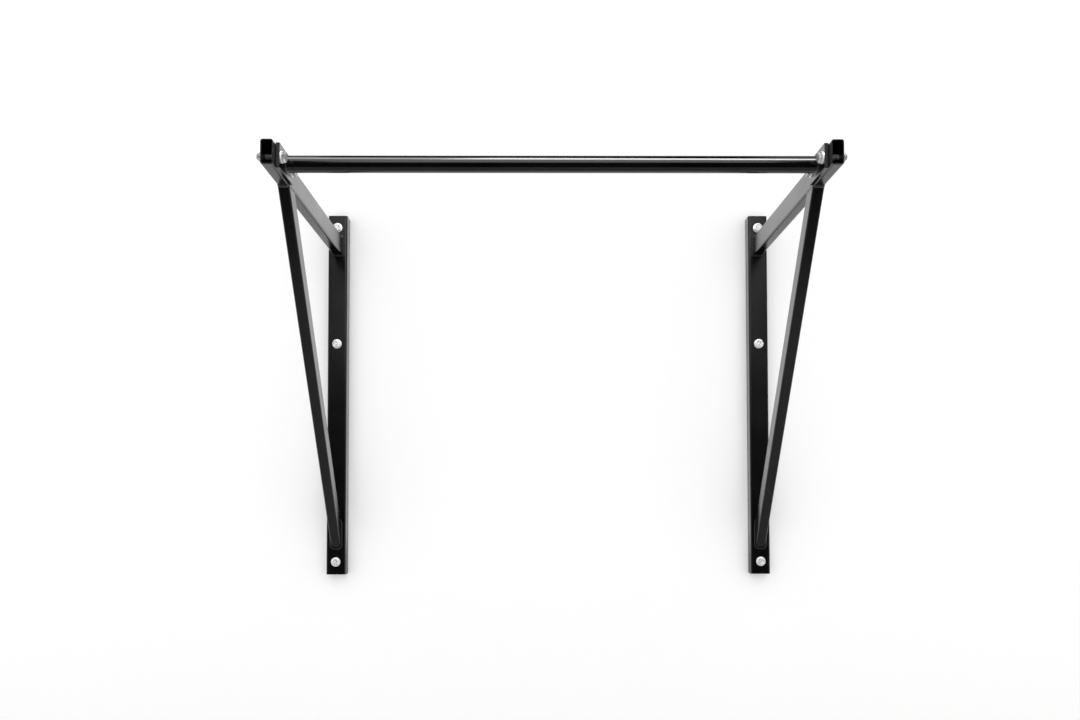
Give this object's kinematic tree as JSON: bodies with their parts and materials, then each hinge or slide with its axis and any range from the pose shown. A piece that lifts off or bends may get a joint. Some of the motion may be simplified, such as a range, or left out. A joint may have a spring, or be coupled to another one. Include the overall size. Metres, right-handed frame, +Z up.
{
  "type": "pull up bar",
  "caption": "Wall-mounted pull up bar: two braced rectangular-tube side frames carry a round bar between bolted flange plates.",
  "frame": {"origin": "on the wall plane, in the middle of the four outer wall bolts", "axes": "+X to the user's right, +Y into the wall, +Z up"},
  "size_m": [1.164, 0.732, 0.945],
  "materials": {
    "black_powder_coat": "satin black powder coat over welded steel tube",
    "zinc_plated_steel": "bright zinc plate"
  },
  "bodies": {
    "root": {"left_upright": "black_powder_coat", "left_arm": "black_powder_coat", "left_brace": "black_powder_coat", "left_flange_plate": "black_powder_coat", "left_flange_bolts": "zinc_plated_steel", "left_wall_bolts": "zinc_plated_steel", "left_wall_washers": "zinc_plated_steel", "right_upright": "black_powder_coat", "right_arm": "black_powder_coat", "right_brace": "black_powder_coat", "right_flange_plate": "black_powder_coat", "right_flange_bolts": "zinc_plated_steel", "right_wall_bolts": "zinc_plated_steel", "right_wall_washers": "zinc_plated_steel", "pull_up_bar": "black_powder_coat", "arm_welds": "black_powder_coat", "brace_foot_welds": "black_powder_coat", "brace_top_welds": "black_powder_coat", "bar_welds": "black_powder_coat", "bolt_head_washers": "zinc_plated_steel", "lock_nuts": "zinc_plated_steel"}
  },
  "joints": []
}
